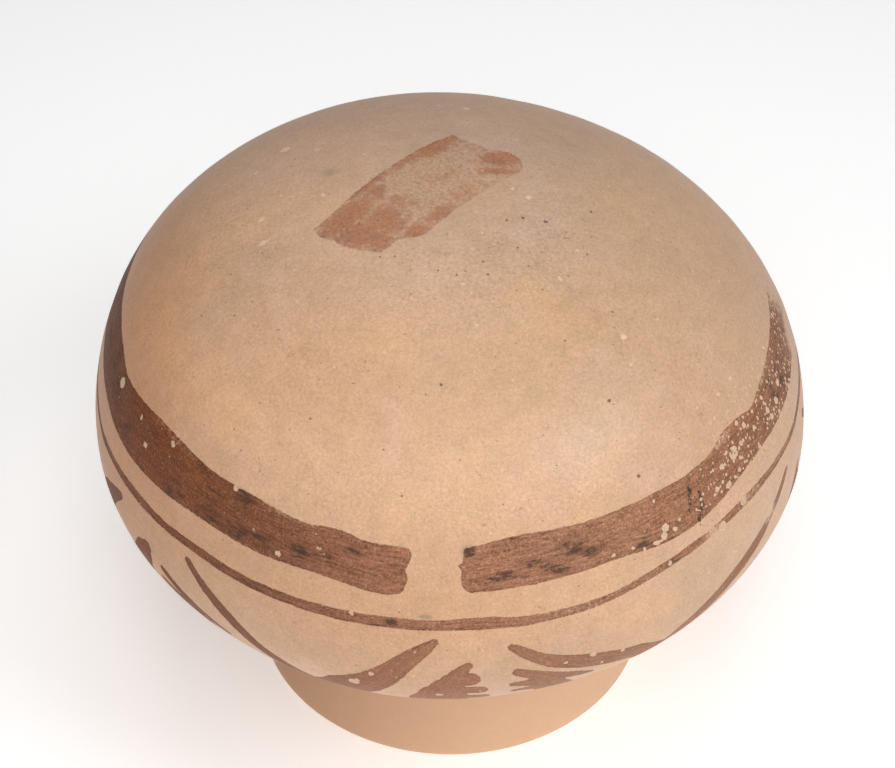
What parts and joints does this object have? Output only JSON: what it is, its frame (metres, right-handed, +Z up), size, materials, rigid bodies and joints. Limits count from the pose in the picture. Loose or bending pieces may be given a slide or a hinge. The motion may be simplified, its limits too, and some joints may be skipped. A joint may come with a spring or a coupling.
{
  "type": "pottery jar",
  "caption": "Hand-built round-based pottery jar with a wide painted body and a short flared neck, standing mouth down on its rim.",
  "frame": {"origin": "centre of the mouth, at the height of the rim's resting face, so the jar stands on z = 0", "axes": "+Z up out of the middle of the rounded base, because the jar stands mouth down as in the picture; -Y is the front, where the thick painted band is broken; turn it half a turn about X to put the mouth up"},
  "size_m": [0.2491, 0.2509, 0.2043],
  "materials": {
    "painted_buff_clay": "unslipped buff to pinkish fired clay, stone-polished to a low sheen, with thin brown mineral paint, small pits and pale accretions"
  },
  "bodies": {
    "root": {"jar": "painted_buff_clay"}
  },
  "joints": []
}
